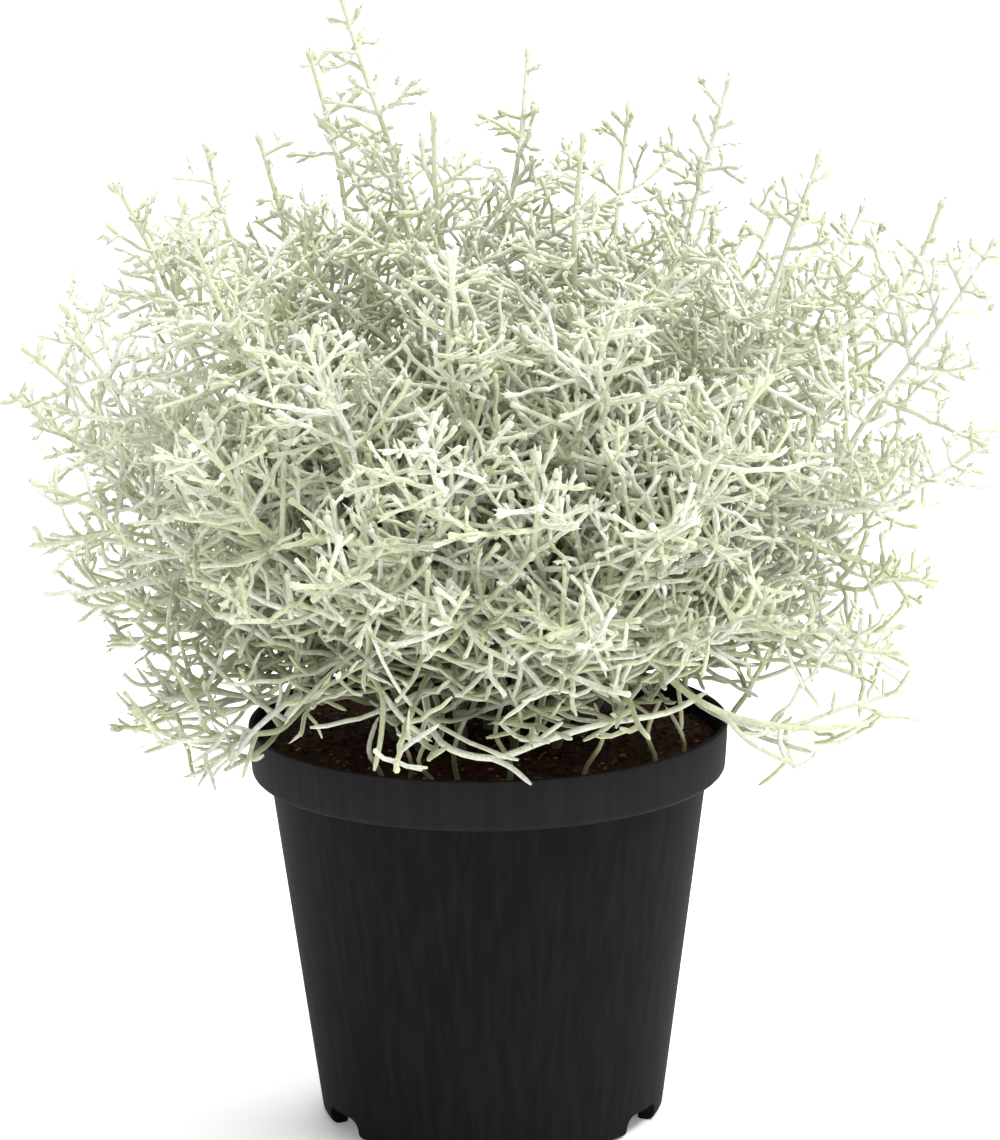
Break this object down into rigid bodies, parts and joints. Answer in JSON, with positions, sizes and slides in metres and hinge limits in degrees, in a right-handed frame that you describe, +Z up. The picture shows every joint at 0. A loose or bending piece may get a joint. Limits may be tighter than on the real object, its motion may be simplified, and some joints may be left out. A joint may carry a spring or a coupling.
{
  "type": "potted cushion bush",
  "caption": "Silver wiry cushion bush with dense forked twigs, rooted in soil in a round tapered plastic nursery pot with a banded rim.",
  "frame": {"origin": "centre of the pot's standing ring, at the surface that it stands on", "axes": "+Z up through the pot's axis, -Y towards the viewer of the picture, +X to the viewer's right"},
  "size_m": [0.267, 0.238, 0.305],
  "materials": {
    "pot_plastic": "moulded black plastic, matte, with faint upright streaks",
    "soil": "damp dark reddish brown peat with fibres and crumbs",
    "felted_stem": "thin twigs under a silver-white felt, greener at the tips"
  },
  "bodies": {
    "root": {"pot": "pot_plastic", "soil": "soil", "leafy_stem_01": "felted_stem", "leafy_stem_02": "felted_stem", "leafy_stem_03": "felted_stem", "leafy_stem_04": "felted_stem", "leafy_stem_05": "felted_stem", "leafy_stem_06": "felted_stem", "leafy_stem_07": "felted_stem", "leafy_stem_08": "felted_stem", "leafy_stem_09": "felted_stem", "leafy_stem_10": "felted_stem", "leafy_stem_11": "felted_stem", "leafy_stem_12": "felted_stem", "leafy_stem_13": "felted_stem", "leafy_stem_14": "felted_stem", "leafy_stem_15": "felted_stem", "leafy_stem_16": "felted_stem", "leafy_stem_17": "felted_stem", "leafy_stem_18": "felted_stem", "leafy_stem_19": "felted_stem"}
  },
  "joints": []
}
